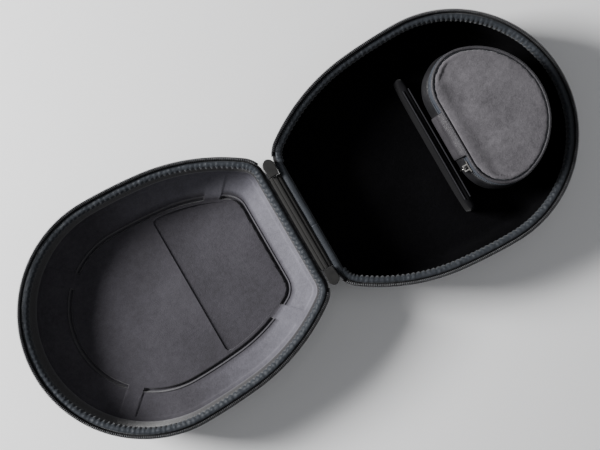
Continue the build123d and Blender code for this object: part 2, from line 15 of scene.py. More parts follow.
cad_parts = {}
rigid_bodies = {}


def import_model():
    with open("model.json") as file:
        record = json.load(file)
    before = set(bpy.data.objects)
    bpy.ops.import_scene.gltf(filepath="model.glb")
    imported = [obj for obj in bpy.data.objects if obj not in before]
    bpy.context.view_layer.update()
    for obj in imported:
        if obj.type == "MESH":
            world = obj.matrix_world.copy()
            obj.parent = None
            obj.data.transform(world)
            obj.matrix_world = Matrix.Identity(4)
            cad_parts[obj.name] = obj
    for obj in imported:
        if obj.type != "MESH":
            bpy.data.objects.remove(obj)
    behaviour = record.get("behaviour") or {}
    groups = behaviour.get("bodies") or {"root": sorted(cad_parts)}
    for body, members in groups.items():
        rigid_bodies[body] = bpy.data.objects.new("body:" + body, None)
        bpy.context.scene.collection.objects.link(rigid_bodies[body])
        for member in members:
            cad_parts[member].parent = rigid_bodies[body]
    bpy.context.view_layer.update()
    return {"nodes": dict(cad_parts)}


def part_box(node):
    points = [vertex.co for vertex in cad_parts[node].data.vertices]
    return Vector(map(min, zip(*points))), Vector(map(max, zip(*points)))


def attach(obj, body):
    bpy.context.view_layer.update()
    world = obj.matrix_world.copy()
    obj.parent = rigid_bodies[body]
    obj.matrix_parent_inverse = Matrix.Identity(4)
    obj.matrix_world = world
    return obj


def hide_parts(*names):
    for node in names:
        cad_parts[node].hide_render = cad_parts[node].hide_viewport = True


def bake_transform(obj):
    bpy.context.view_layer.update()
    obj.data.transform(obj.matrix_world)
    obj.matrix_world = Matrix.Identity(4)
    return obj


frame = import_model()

MM = 0.001
DOUBLES = 0.02 * MM
NODES = frame["nodes"]
random.seed(7)
for leftover in [o for o in bpy.data.objects if o.name in ("Cube", "Light", "Camera")]:
    bpy.data.objects.remove(leftover)

# %% [markdown]
# Blender's operators act on whatever is selected, and loading the frame leaves its nodes selected.
# So a few short helpers select one piece, open it for editing, and pick parts of it by their place.


# %% Selecting and editing
def only(piece):
    """Selects this piece and nothing else."""
    if bpy.context.object and bpy.context.object.mode != "OBJECT":
        bpy.ops.object.mode_set(mode="OBJECT")
    bpy.ops.object.select_all(action="DESELECT")
    piece.select_set(True)
    bpy.context.view_layer.objects.active = piece
    return piece


def edit(piece, mode="VERT"):
    """Opens a piece in edit mode with nothing picked."""
    only(piece)
    bpy.ops.object.mode_set(mode="EDIT")
    bpy.ops.mesh.select_mode(type=mode)
    bpy.ops.mesh.select_all(action="DESELECT")


def pick(piece, test):
    """Picks the vertices whose place passes a test, and the edges and faces between them."""
    mesh = bmesh.from_edit_mesh(piece.data)
    for vertex in mesh.verts:
        vertex.select = bool(test(vertex.co))
    mesh.select_flush_mode()
    mesh.select_flush(True)
    bmesh.update_edit_mesh(piece.data)


def close_edit():
    bpy.ops.object.mode_set(mode="OBJECT")


def apply_all(piece):
    """Applies a piece's modifiers in order."""
    only(piece)
    for modifier in list(piece.modifiers):
        bpy.ops.object.modifier_apply(modifier=modifier.name)


def settle(piece):
    """Puts a piece's place into its mesh, so that its object sits at the origin."""
    only(piece)
    bpy.ops.object.transform_apply(location=True, rotation=True, scale=True)


def outward(piece):
    """Merges doubles and turns every face outwards."""
    edit(piece)
    bpy.ops.mesh.select_all(action="SELECT")
    bpy.ops.mesh.remove_doubles(threshold=DOUBLES)
    bpy.ops.mesh.normals_make_consistent(inside=False)
    close_edit()


def soft_shade(piece, angle=40):
    only(piece)
    bpy.ops.object.shade_smooth_by_angle(angle=radians(angle))


def add(piece, *modifiers):
    """Adds modifiers, each a type with its settings, and applies them."""
    for kind, settings in modifiers:
        modifier = piece.modifiers.new(kind.title(), kind)
        for key, value in settings.items():
            setattr(modifier, key, value)
    apply_all(piece)


def mirrored(piece):
    """Adds the other half of a piece that was made on the +Y side."""
    sides = {"use_axis": (False, True, False), "use_clip": True, "merge_threshold": DOUBLES}
    add(piece, ("MIRROR", sides))


def filled_and_raised(piece, step):
    """Closes a flat outline with a face and extrudes it by one step."""
    bpy.ops.mesh.select_all(action="SELECT")
    bpy.ops.mesh.edge_face_add()
    bpy.ops.mesh.extrude_region_move(TRANSFORM_OT_translate={"value": step})
    close_edit()
    outward(piece)


def noisy(piece, size, strength, height_only=False):
    """Pushes a surface in and out, or only up and down, with slow noise."""
    cloud = bpy.data.textures.new(piece.name + "_noise", "CLOUDS")
    cloud.noise_scale = size
    settings = {"texture": cloud, "strength": strength, "mid_level": 0.5, "texture_coords": "GLOBAL"}
    add(piece, ("DISPLACE", {**settings, "direction": "Z" if height_only else "NORMAL"}))


def twin(piece, name):
    """The same piece turned half a turn about the upright axis, for the lid side."""
    other = bpy.data.objects.new(name, piece.data.copy())
    bpy.context.scene.collection.objects.link(other)
    other.data.transform(Matrix.Rotation(pi, 4, "Z"))
    return other


def size_of(piece):
    low = Vector([min(v.co[i] for v in piece.data.vertices) for i in range(3)])
    high = Vector([max(v.co[i] for v in piece.data.vertices) for i in range(3)])
    return [round((high - low)[i] * 1000, 1) for i in range(3)]


def place(piece, body, slot, *nodes):
    """Says which body a piece rides on and what it stands for. The slot is not used."""
    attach(piece, body)
    if nodes:
        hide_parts(*nodes)
    print(piece.name, size_of(piece), "mm,", len(piece.data.polygons), "faces")


print("vertices nearer than", DOUBLES / MM, "mm are merged")

# %% [markdown]
# Both cups have the same outline: a round far end, a long flat shoulder, a side that narrows to the hinge,
# and a corner. All four are arcs that run smoothly into each other, so anything that follows the rim can be
# drawn once at the far tip and spun about the four centres in turn. The pouch is drawn so from two arcs.

# %% The outlines as arcs
AXIS_Z = 57 * MM
FAR_X, FAR_R = 143.6 * MM, 101 * MM
SHOULDER_R, SIDE_R, CORNER_R = 463 * MM, 170 * MM, 22 * MM
JOIN_X, HINGE_X = 96 * MM, 4.5 * MM
turn = asin((FAR_X - JOIN_X) / SHOULDER_R)
shoulder = Vector((FAR_X, FAR_R - SHOULDER_R))
side = shoulder + Vector((-sin(turn), cos(turn))) * (SHOULDER_R - SIDE_R)
corner_x = HINGE_X + CORNER_R
corner = Vector((corner_x, side.y + sqrt((SIDE_R - CORNER_R) ** 2 - (corner_x - side.x) ** 2)))
meet = atan2(corner.y - side.y, corner.x - side.x)


def cup_arcs(last=pi):
    """The rim's arcs from the far tip to the hinge, as centre, radius and angle."""
    return [
        (Vector((FAR_X, 0)), FAR_R, pi / 2),
        (shoulder, SHOULDER_R, turn),
        (side, SIDE_R, meet - pi / 2 - turn),
        (corner, CORNER_R, last - meet),
    ]


POUCH_BACK_X, POUCH_BACK_R, POUCH_CORNER_R, POUCH_CORNER_Y = 160 * MM, 61.5 * MM, 32 * MM, 28.5 * MM
POUCH_LEAN = 1.5 * MM
pouch_corner_x = POUCH_BACK_X + sqrt((POUCH_BACK_R - POUCH_CORNER_R) ** 2 - POUCH_CORNER_Y**2)
pouch_meet = atan2(POUCH_CORNER_Y, pouch_corner_x - POUCH_BACK_X)
POUCH_FRONT_X = pouch_corner_x - POUCH_CORNER_R


def pouch_arcs():
    """The pouch's arcs from its back to its front."""
    return [
        (Vector((POUCH_BACK_X, 0)), POUCH_BACK_R, pouch_meet),
        (Vector((pouch_corner_x, POUCH_CORNER_Y)), POUCH_CORNER_R, pi - pouch_meet),
    ]


def rim_length(arcs):
    """The arcs' length on both sides together, in whole millimetres."""
    return round(2 * sum(radius * angle for _, radius, angle in arcs) / MM)


print("cup rim", rim_length(cup_arcs()), "mm, pouch rim", rim_length(pouch_arcs()), "mm")

# %% [markdown]
# A spin turns the picked profile about a centre in steps and leaves its end picked, so the next spin carries
# on from there. The profile starts as one vertex of a plane and is extruded point by point, as a pen draws.
# Seen from above, a positive angle spins clockwise, so the arcs, which run the other way, take a minus sign.


# %% Drawing a profile and spinning it
def drawn(name, points, closed=False):
    """A chain of edges through points, the last one left picked."""
    bpy.ops.object.select_all(action="DESELECT")
    bpy.ops.mesh.primitive_plane_add(size=MM, location=(0, 0, 0))
    piece = bpy.context.object
    piece.name = name
    edit(piece)
    bpy.ops.mesh.select_all(action="SELECT")
    bpy.ops.mesh.merge(type="CENTER")
    here = Vector((0, 0, 0))
    for number, point in enumerate(points):
        step = Vector(point) - here
        if number == 0:
            bpy.ops.transform.translate(value=step)
        else:
            bpy.ops.mesh.extrude_region_move(TRANSFORM_OT_translate={"value": step})
        here = Vector(point)
    if closed:
        bpy.ops.mesh.select_all(action="SELECT")
        mesh = bmesh.from_edit_mesh(piece.data)
        mesh.verts.ensure_lookup_table()
        ends = [v for v in mesh.verts if len(v.link_edges) == 1]
        bpy.ops.mesh.select_all(action="DESELECT")
        for v in ends:
            v.select = True
        bmesh.update_edit_mesh(piece.data)
        bpy.ops.mesh.edge_face_add()
    return piece


def spun(piece, arcs, step, run_to_middle=True):
    """Spins the whole profile round the arcs, runs it straight to the middle, and mirrors it."""
    bpy.ops.mesh.select_all(action="SELECT")
    for centre, radius, angle in arcs:
        count = max(2, ceil(radius * angle / step))
        bpy.ops.mesh.spin(steps=count, angle=-angle, center=(centre.x, centre.y, 0), axis=(0, 0, 1))
    if run_to_middle:
        last_y = arcs[-1][0].y
        pieces = max(1, ceil(last_y / step))
        for _ in range(pieces):
            bpy.ops.mesh.extrude_region_move(TRANSFORM_OT_translate={"value": (0, -last_y / pieces, 0)})
    close_edit()
    mirrored(piece)
    return piece


def far_profile(points, tip=FAR_X + FAR_R):
    """Turns (inset, height) pairs in millimetres into points at the far tip."""
    return [(tip - inset * MM, 0, height * MM) for inset, height in points]


print("profiles are drawn at the far tip and spun round", len(cup_arcs()), "centres")

# %% [markdown]
# A zip's coil and a gathered edging are one small shape repeated hundreds of times along the rim. The shape is
# modelled once, lying along X. An Array repeats it, and a Curve modifier bends the row round a track.
# The track itself is one vertex spun round the rim's arcs.


# %% Tracks, and rows that follow them
TRACK_STEP, ROW_MERGE = 1.5 * MM, 0.03 * MM


def track(arcs, tip, inset, run_to_middle):
    """A curve round the rim at one inset, at height zero, and its length."""
    line = spun(drawn("track", [(tip - inset, 0, 0)]), arcs, TRACK_STEP, run_to_middle)
    only(line)
    bpy.ops.object.convert(target="CURVE")
    line.data.twist_mode = "Z_UP"
    spline = line.data.splines[0]
    points = [p.co.to_3d() for p in spline.points]
    if spline.use_cyclic_u:
        points.append(points[0])
    length = sum((b - a).length for a, b in zip(points, points[1:]))
    turning = sum(a.x * b.y - b.x * a.y for a, b in zip(points, points[1:] + points[:1]))
    if turning < 0:
        only(line)
        bpy.ops.object.mode_set(mode="EDIT")
        bpy.ops.curve.select_all(action="SELECT")
        bpy.ops.curve.switch_direction()
        bpy.ops.object.mode_set(mode="OBJECT")
    return line, length


def row(unit, pitch, arcs, tip, inset, run_to_middle=False, offset=0.0):
    """Repeats a unit along a track, as near to the pitch as fills it, and bends the row round it."""
    line, length = track(arcs, tip, inset, run_to_middle)
    count = round(length / pitch)
    unit.data.transform(Matrix.Diagonal((length / count / pitch, 1, 1, 1)))
    unit.data.transform(Matrix.Translation((offset * length / count, 0, 0)))
    settings = {
        "count": count,
        "use_relative_offset": False,
        "use_constant_offset": True,
        "constant_offset_displace": (length / count, 0, 0),
        "use_merge_vertices": True,
        "merge_threshold": ROW_MERGE,
    }
    add(unit, ("ARRAY", settings), ("CURVE", {"object": line, "deform_axis": "POS_X"}))
    bpy.data.objects.remove(line)
    return unit


def chamfered(name, size, centre, width, segments=1):
    """A block with softened edges."""
    bpy.ops.object.select_all(action="DESELECT")
    bpy.ops.mesh.primitive_cube_add(size=1, location=centre, scale=size)
    piece = bpy.context.object
    piece.name = name
    settle(piece)
    edit(piece, "EDGE")
    bpy.ops.mesh.select_all(action="SELECT")
    bpy.ops.mesh.bevel(offset=width, segments=segments, affect="EDGES")
    close_edit()
    return piece


# %% [markdown]
# The main zip stands on edge, so from above each turn of its coil shows as a short bar across the rim.
# The two rows are set half a tooth apart, so that they mesh when the case is shut.

# %% The main zip's coils
TOOTH_PITCH, TOOTH_SHARE, TOOTH_CHAMFER = 1.5 * MM, 0.55, 0.3 * MM
TOOTH_LOW, TOOTH_HIGH = 53.4 * MM, 57.25 * MM
COIL_DEPTH = 2.7 * MM
COIL_START_Y = 60 * MM
coil_end = pi - asin((COIL_START_Y - corner.y) / CORNER_R)
tooth_size = (TOOTH_SHARE * TOOTH_PITCH, COIL_DEPTH, TOOTH_HIGH - TOOTH_LOW)
tooth = chamfered("base_zip_teeth", tooth_size, (0, 0, (TOOTH_LOW + TOOTH_HIGH) / 2), TOOTH_CHAMFER)
base_teeth = row(tooth, TOOTH_PITCH, cup_arcs(coil_end), FAR_X + FAR_R, COIL_DEPTH / 2, offset=0.25)
lid_teeth = twin(base_teeth, "lid_zip_teeth")
for piece, body in ((base_teeth, "base"), (lid_teeth, "lid")):
    soft_shade(piece, 50)
    place(piece, body, "zip_coil", f"{body}_zip_coil")

# %% [markdown]
# The mouth of each cup is trimmed with thin nylon gathered over foam in small folds, close together.
# One pleat is a closed section drawn across the band and pushed along it, with its crest raised and its
# valley pinched.

# %% The gathered bands
PLEAT_PITCH = 4.4 * MM
BAND_SECTION = (
    (3.1, 52.1), (3.1, 53.4), (3.8, 54.3), (5.4, 54.6), (7.2, 54.2), (8.5, 53.0),
    (9.0, 51.0), (9.0, 48.6), (8.6, 46.5), (7.2, 46.3), (7.2, 52.1),
)
CREST, PINCH = 0.3 * MM, 1.5 * MM
PLEAT_PARTS = (0.3, 0.25, 0.25, 0.2)


def pleat(name):
    """One pleat of the band, from valley to valley."""
    piece = drawn(name, [(0, inset * MM, z * MM) for inset, z in BAND_SECTION], closed=True)
    bpy.ops.mesh.select_all(action="SELECT")
    for part in PLEAT_PARTS:
        bpy.ops.mesh.extrude_region_move(TRANSFORM_OT_translate={"value": (part * PLEAT_PITCH, 0, 0)})
    shows = lambda co: co.z > 53 * MM and 3.5 * MM < co.y < 8 * MM
    inner = lambda co: co.y > 8.2 * MM and co.z > 48 * MM
    crest = lambda co: 0.4 * PLEAT_PITCH < co.x < 0.6 * PLEAT_PITCH
    valley = lambda co: co.x < 0.1 * PLEAT_PITCH or co.x > 0.95 * PLEAT_PITCH
    pick(piece, lambda co: shows(co) and crest(co))
    bpy.ops.transform.translate(value=(0, 0, CREST))
    pick(piece, lambda co: inner(co) and crest(co))
    bpy.ops.transform.translate(value=(0, 0.3 * CREST, 0))
    pick(piece, lambda co: inner(co) and valley(co))
    bpy.ops.transform.translate(value=(0, -PINCH, 0))
    close_edit()
    return piece


def gathered_band(name, run_to_middle):
    """A whole band of pleats, with a slow unevenness in how the cloth was gathered."""
    band = row(pleat(name), PLEAT_PITCH, cup_arcs(), FAR_X + FAR_R, 0, run_to_middle)
    outward(band)
    add(band, ("SUBSURF", {"levels": 1, "render_levels": 1}))
    noisy(band, 7 * MM, 1.3 * MM, height_only=True)
    noisy(band, 2.2 * MM, 0.5 * MM, height_only=True)
    soft_shade(band, 70)
    return band


base_band = gathered_band("base_band_pleats", False)
lid_band = gathered_band("lid_band_pleats", True)
lid_band.data.transform(Matrix.Rotation(pi, 4, "Z"))
for piece, body in ((base_band, "base"), (lid_band, "lid")):
    place(piece, body, "rim_nylon", f"{body}_rim_band")

# %% [markdown]
# Along the hinge the base's edge is bound with a smooth folded strip instead, closed by a short seam near
# its middle.

# %% The binding along the hinge
BINDING_SECTION = (
    (5.1, 52.1), (4.9, 53.6), (5.6, 54.9), (7.8, 55.6), (10.0, 55.2), (11.2, 53.6),
    (11.5, 50.5), (11.2, 46.8), (9.8, 46.4), (9.6, 52.1),
)
BINDING_HALF, BINDING_TOP, UNEVEN_HALF = 50.5 * MM, 53 * MM, 48 * MM
UNEVEN_X, UNEVEN_Z = 0.25, 0.2
SEAM_Y, SEAM_W, SEAM_SINK = -7 * MM, 0.8 * MM, 0.5 * MM
binding = drawn("base_binding", [(x * MM, -BINDING_HALF, z * MM) for x, z in BINDING_SECTION], closed=True)
bpy.ops.mesh.select_all(action="SELECT")
along = -BINDING_HALF
stops = [y * MM for y in range(-44, 51, 6)] + [SEAM_Y - SEAM_W, SEAM_Y, SEAM_Y + SEAM_W, BINDING_HALF]
for stop in sorted(stops):
    bpy.ops.mesh.extrude_region_move(TRANSFORM_OT_translate={"value": (0, stop - along, 0)})
    along = stop
pick(binding, lambda co: abs(co.y - SEAM_Y) < 0.1 * MM and co.z > BINDING_TOP)
bpy.ops.transform.translate(value=(0, 0, -SEAM_SINK))
close_edit()
for vertex in binding.data.vertices:
    if vertex.co.z > BINDING_TOP and abs(vertex.co.y) < UNEVEN_HALF:
        vertex.co.x += random.uniform(-UNEVEN_X, UNEVEN_X) * MM
        vertex.co.z += random.uniform(-UNEVEN_Z, UNEVEN_Z) * MM
outward(binding)
add(binding, ("SUBSURF", {"levels": 2, "render_levels": 2}))
soft_shade(binding, 70)
place(binding, "base", "rim_nylon")

# %% [markdown]
# The trays are foam pressed to shape under suede, so every step on them is a soft one. Carving them would
# leave hard edges, so a fine grid is laid over each cup and its vertices are lifted to the height of the
# pressed shape. All heights come from one measure: how far a point lies inside an outline made of arcs.


# %% How far inside an outline a point is
def depth_inside(x, y, arcs, straight_x):
    """Distance in from the outline, for a point given in metres on the +X side."""
    y = abs(y)
    depths = []
    start = 0.0
    for centre, radius, angle in arcs:
        across, along = y - centre.y, x - centre.x
        heading = atan2(across, along)
        if start - 0.001 <= heading <= start + angle + 0.001:
            depths.append(radius - hypot(across, along))
        start += angle
    if y <= arcs[-1][0].y:
        depths.append(x - straight_x)
    return min(depths) if depths else 0.0


def soft_step(value, width):
    """0 below zero and 1 above the width, with a smooth rise between."""
    share = min(1.0, max(0.0, value / width))
    return share * share * (3 - 2 * share)


PANEL_INSET, PANEL_CORNER, PANEL_SHIFT = 30.5 * MM, 17 * MM, -3.5 * MM
panel_corner_x = HINGE_X + PANEL_INSET + PANEL_CORNER
panel_reach = SIDE_R - PANEL_INSET - PANEL_CORNER
panel_corner = Vector((panel_corner_x, side.y + sqrt(panel_reach**2 - (panel_corner_x - side.x) ** 2)))
panel_meet = atan2(panel_corner.y - side.y, panel_corner.x - side.x)
panel_arcs = cup_arcs()[:2] + [
    (side, SIDE_R, panel_meet - pi / 2 - turn),
    (panel_corner, PANEL_CORNER + PANEL_INSET, pi - panel_meet),
]
print("the floor panel's corners are at y", round(panel_corner.y * 1000, 1), "mm")

# %% [markdown]
# A tray starts as one flat grid. Its columns are laid round half of the rim and its rows run up the outside,
# over the lip, down the wall, and across the floor to the middle line, with more rows where a groove or a step
# will be. The half is then mirrored, so the tray is one closed piece.

# %% Where the grid's rows and columns go
RIM_STEP = 0.8 * MM
OUTSIDE = ((17.0, 4.8), (11.0, 7.2), (8.0, 12.5), (6.4, 25.0), (5.3, 38.0), (5.2, 45.6), (5.7, 46.3))
WALL = ((6.6, 46.3), (7.1, 45.6), (7.1, 38.0), (7.8, 31.0), (8.5, 24.5), (9.1, 18.0))
FLOOR_START = 9.1 * MM
RING_ROWS = (0.7, 1.4, 2.1, 2.6, 3.1, 3.6, 4.2, 5.5, 7.5, 9.5, 12.0)
EDGE_ROWS = (-7.0, -4.5, -3.0, -2.0, -1.4, -0.9, -0.4, 0.0, 0.5, 0.9, 1.3, 1.9, 2.4, 2.9, 3.3, 3.7, 4.2, 5.2)
INNER_ROWS = 12
HEART_NEAR_X, HALVINGS = 60 * MM, 24


def rim_columns(arcs):
    """Points round half of the rim from the far tip to the hinge, each with its inward direction."""
    columns, start = [], 0.0
    for centre, radius, angle in arcs:
        count = ceil(radius * angle / RIM_STEP)
        for k in range(count):
            heading = start + angle * k / count
            out = Vector((cos(heading), sin(heading)))
            columns.append((centre + out * radius, -out))
        start += angle
    last_y = arcs[-1][0].y
    count = ceil(last_y / RIM_STEP)
    columns += [(Vector((HINGE_X, last_y * (1 - k / count))), Vector((1, 0))) for k in range(count + 1)]
    return columns


def panel_depth(x, y):
    """How far a point lies inside the floor panel's outline."""
    return depth_inside(x - PANEL_SHIFT, y, panel_arcs, HINGE_X) - PANEL_INSET


def column_points(rim_point, inward, height):
    """One column of the grid, from the middle of the underside to the middle of the floor."""
    near = min(1.0, max(0.0, (rim_point.x - HINGE_X) / (FAR_X - HINGE_X)))
    heart = Vector((HEART_NEAR_X + (FAR_X - HEART_NEAR_X) * near, 0))
    points = [(*heart, OUTSIDE[0][1] * MM)]
    points += [(*(rim_point + inward * inset * MM), z * MM) for inset, z in OUTSIDE + WALL]
    start = rim_point + inward * FLOOR_START
    reach = (heart - start).length
    low, high = 0.0, 1.0
    for _ in range(HALVINGS):
        middle = (low + high) / 2
        inside = panel_depth(*start.lerp(heart, middle)) > 0
        low, high = (low, middle) if inside else (middle, high)
    shares = [row_at * MM / reach for row_at in RING_ROWS]
    shares += [low + row_at * MM / reach for row_at in EDGE_ROWS]
    shares += [shares[-1] + (1 - shares[-1]) * k / INNER_ROWS for k in range(1, INNER_ROWS + 1)]
    for share in sorted(shares):
        place_at = start.lerp(heart, share)
        points.append((*place_at, height(*place_at)))
    return points


print(len(rim_columns(cup_arcs())), "columns round half of the rim")

# %% Pressing a tray
def pressed(name, height):
    """A tray on the base side, its floor lifted to height(x, y)."""
    columns = [column_points(point, inward, height) for point, inward in rim_columns(cup_arcs())]
    across, along = len(columns) - 1, len(columns[0]) - 1
    bpy.ops.object.select_all(action="DESELECT")
    bpy.ops.mesh.primitive_grid_add(x_subdivisions=across, y_subdivisions=along, size=2, location=(0, 0, 0))
    piece = bpy.context.object
    piece.name = name
    for vertex in piece.data.vertices:
        column = round((vertex.co.x + 1) / 2 * across)
        line = round((vertex.co.y + 1) / 2 * along)
        vertex.co = columns[column][line]
    mirrored(piece)
    outward(piece)
    return piece


# %% [markdown]
# The lid's tray has a broad ring that slopes in to a flat panel. Four bars cross the ring, the pads between
# them lie a little lower, and a groove runs round the panel. Its floor is a height for each point.

# %% The lid's tray
RING_TOP, RING_LOW, PANEL_Z = 18 * MM, 11 * MM, 10 * MM
PAD_SINK, PAD_EDGE, PAD_MARGIN = 1.1 * MM, 1.0 * MM, 2.4 * MM
GROOVE_W, GROOVE_SINK = 3.4 * MM, 3.8 * MM
BAR_HALF, BAR_REACH = 6.2 * MM, 26 * MM
BARS = ((47.0, 59.7, -45.0), (196.8, 61.5, 42.5))


def off_the_bars(x, y):
    """0 on a bar and 1 away from all four."""
    off = 1.0
    for bar_x, bar_y, angle in BARS:
        lean = radians(angle)
        dx, dy = x - bar_x * MM, abs(y) - bar_y * MM
        sideways = abs(dy * cos(lean) - dx * sin(lean)) - BAR_HALF
        lengthways = abs(dx * cos(lean) + dy * sin(lean)) - BAR_REACH
        off = min(off, max(soft_step(sideways, PAD_EDGE), soft_step(lengthways, PAD_EDGE)))
    return off


def lid_height(x, y):
    rim = depth_inside(x, y, cup_arcs(), HINGE_X)
    panel = panel_depth(x, y)
    off_bars = off_the_bars(x, y)
    if panel < 0:
        share = min(1.0, max(0.0, (rim - FLOOR_START) / max(0.1 * MM, rim - FLOOR_START - panel)))
        z = RING_TOP + (RING_LOW - RING_TOP) * share
        on_pad = soft_step(rim - FLOOR_START - PAD_MARGIN, PAD_EDGE)
        edge_lip = soft_step(-panel - 0.2 * MM, 0.7 * MM)
        return z - PAD_SINK * on_pad * off_bars * edge_lip
    lip = RING_LOW + (PANEL_Z - RING_LOW) * soft_step(panel, GROOVE_W)
    groove = soft_step(panel, 0.8 * MM) * (1 - soft_step(panel - GROOVE_W + 0.8 * MM, 0.8 * MM))
    return lip - GROOVE_SINK * groove * off_bars


lid_tray = pressed("lid_tray_suede", lid_height)
print("pressed", size_of(lid_tray), "mm")

# %% [markdown]
# The scoop near the hinge has a crisp edge, so it is cut. Its cutter is a block with a curved underside,
# trimmed to the panel's outline. It drops steeply at the straight edge and rises slowly towards the hinge.

# %% Cutting the scoop
SCOOP_EDGE_X, SCOOP_MARGIN, SCOOP_ROUND = 105.5 * MM, 5.4 * MM, 3.5 * MM
SCOOP_FRONT_X = HINGE_X + PANEL_INSET + PANEL_SHIFT + SCOOP_MARGIN
SCOOP_BOWL, SCOOP_LIP, SCOOP_STEP, SCOOP_PIECES = 3.5 * MM, 0.25 * MM, 0.8 * MM, 28
SCOOP_TOP, SCOOP_PAST = 14 * MM, 5 * MM


def inside_arcs(inset):
    """The panel's arcs moved inwards."""
    moved, start = [], 0.0
    for centre, radius, angle in panel_arcs:
        count = max(3, ceil((radius - inset) * angle / (2 * MM)))
        for k in range(count):
            heading = start + angle * k / count
            out = Vector((cos(heading), sin(heading)))
            moved.append(centre + Vector((PANEL_SHIFT, 0)) + out * (radius - inset))
        start += angle
    return moved


outline = [p for p in inside_arcs(PANEL_INSET + SCOOP_MARGIN) if p.x < SCOOP_EDGE_X - SCOOP_ROUND]
edge_y = outline[0].y
cut_off = 0.3 * SCOOP_ROUND
rounded = [Vector((SCOOP_EDGE_X, edge_y - SCOOP_ROUND)), Vector((SCOOP_EDGE_X - cut_off, edge_y - cut_off))]
half = rounded + outline + [Vector((SCOOP_FRONT_X, outline[-1].y))]
loop = half + [Vector((p.x, -p.y)) for p in reversed(half)]
prism = drawn("scoop_prism", [(p.x, p.y, 0) for p in loop], closed=True)
filled_and_raised(prism, (0, 0, SCOOP_TOP))
run = SCOOP_EDGE_X - SCOOP_FRONT_X
under = []
for share in (k / SCOOP_PIECES for k in range(SCOOP_PIECES + 1)):
    depth = SCOOP_LIP + SCOOP_STEP * share**4 + SCOOP_BOWL * sin(pi * share**1.5) ** 0.9
    under.append((SCOOP_FRONT_X + share * run, -FAR_R, PANEL_Z - depth))
front_x, back_x = under[0][0] - SCOOP_PAST, under[-1][0] + SCOOP_PAST
under = [(front_x, -FAR_R, under[0][2])] + under + [(back_x, -FAR_R, under[-1][2])]
over = [(back_x, -FAR_R, 2 * SCOOP_TOP), (front_x, -FAR_R, 2 * SCOOP_TOP)]
dip = drawn("scoop_dip", under + over, closed=True)
filled_and_raised(dip, (0, 2 * FAR_R, 0))
add(dip, ("BOOLEAN", {"operation": "INTERSECT", "solver": "EXACT", "object": prism}))
add(lid_tray, ("BOOLEAN", {"operation": "DIFFERENCE", "solver": "EXACT", "object": dip}))
for cutter in (prism, dip):
    bpy.data.objects.remove(cutter)
lid_tray.data.transform(Matrix.Rotation(pi, 4, "Z"))
soft_shade(lid_tray, 42)
place(lid_tray, "lid", "tray_suede_lid", "lid_tray")

# %% [markdown]
# The base's tray is a plain deep well with rounded feet to its walls, and a raised seat for the pouch.

# %% The base's tray
WELL_Z, SEAT_Z = 8 * MM, 24 * MM
WELL_FOOT_R, WELL_FOOT_INSET = 7 * MM, 10.2 * MM
SEAT_INSET, SEAT_SLOPE = 5 * MM, 4 * MM


def base_height(x, y):
    rim = depth_inside(x, y, cup_arcs(), HINGE_X)
    foot = min(WELL_FOOT_R, max(0.0, WELL_FOOT_R - (rim - WELL_FOOT_INSET)))
    z = WELL_Z + WELL_FOOT_R - sqrt(WELL_FOOT_R**2 - foot**2)
    seat = depth_inside(x, y, pouch_arcs(), POUCH_FRONT_X)
    return max(z, WELL_Z + (SEAT_Z - WELL_Z) * soft_step(seat - SEAT_INSET, SEAT_SLOPE))


base_suede = pressed("base_tray_suede", base_height)
soft_shade(base_suede, 70)
place(base_suede, "base", "tray_suede_base", "base_tray")

# %% [markdown]
# The divider is a foam board in a sewn cover. It is blown up a little from inside, as a cushion is,
# so its sides swell between the seams along its top edges.


# %% A cloth cushion from a plain block
CLOTH_FRAMES = 20


def inflated(piece, voxel, pressure, cap, sewn=None):
    """Remeshes a closed piece and lets cloth pressure fill it out, by no more than the cap.

    Sewn is a test of a vertex's place: the vertices that pass it are held, as a seam holds cloth.
    """
    only(piece)
    piece.data.remesh_voxel_size = voxel
    bpy.ops.object.voxel_remesh()
    rest = [v.co.copy() for v in piece.data.vertices]
    cloth = piece.modifiers.new("Cloth", "CLOTH")
    cloth.settings.quality = 6
    cloth.settings.mass = 0.25
    cloth.settings.use_pressure = True
    cloth.settings.uniform_pressure_force = pressure
    cloth.settings.effector_weights.gravity = 0
    cloth.collision_settings.use_collision = False
    if sewn:
        seam = piece.vertex_groups.new(name="seam")
        seam.add([v.index for v in piece.data.vertices if sewn(v.co)], 1.0, "REPLACE")
        cloth.settings.vertex_group_mass = "seam"
    cloth.point_cache.frame_start, cloth.point_cache.frame_end = 1, CLOTH_FRAMES
    for number in range(1, CLOTH_FRAMES + 1):
        bpy.context.scene.frame_set(number)
    apply_all(piece)
    bpy.context.scene.frame_set(1)
    for vertex, start in zip(piece.data.vertices, rest):
        move = vertex.co - start
        if move.length > cap:
            vertex.co = start + move * (cap / move.length)
    add(piece, ("SMOOTH", {"factor": 0.5, "iterations": 3}), ("SUBSURF", {"levels": 1, "render_levels": 1}))
    soft_shade(piece, 80)
    return piece


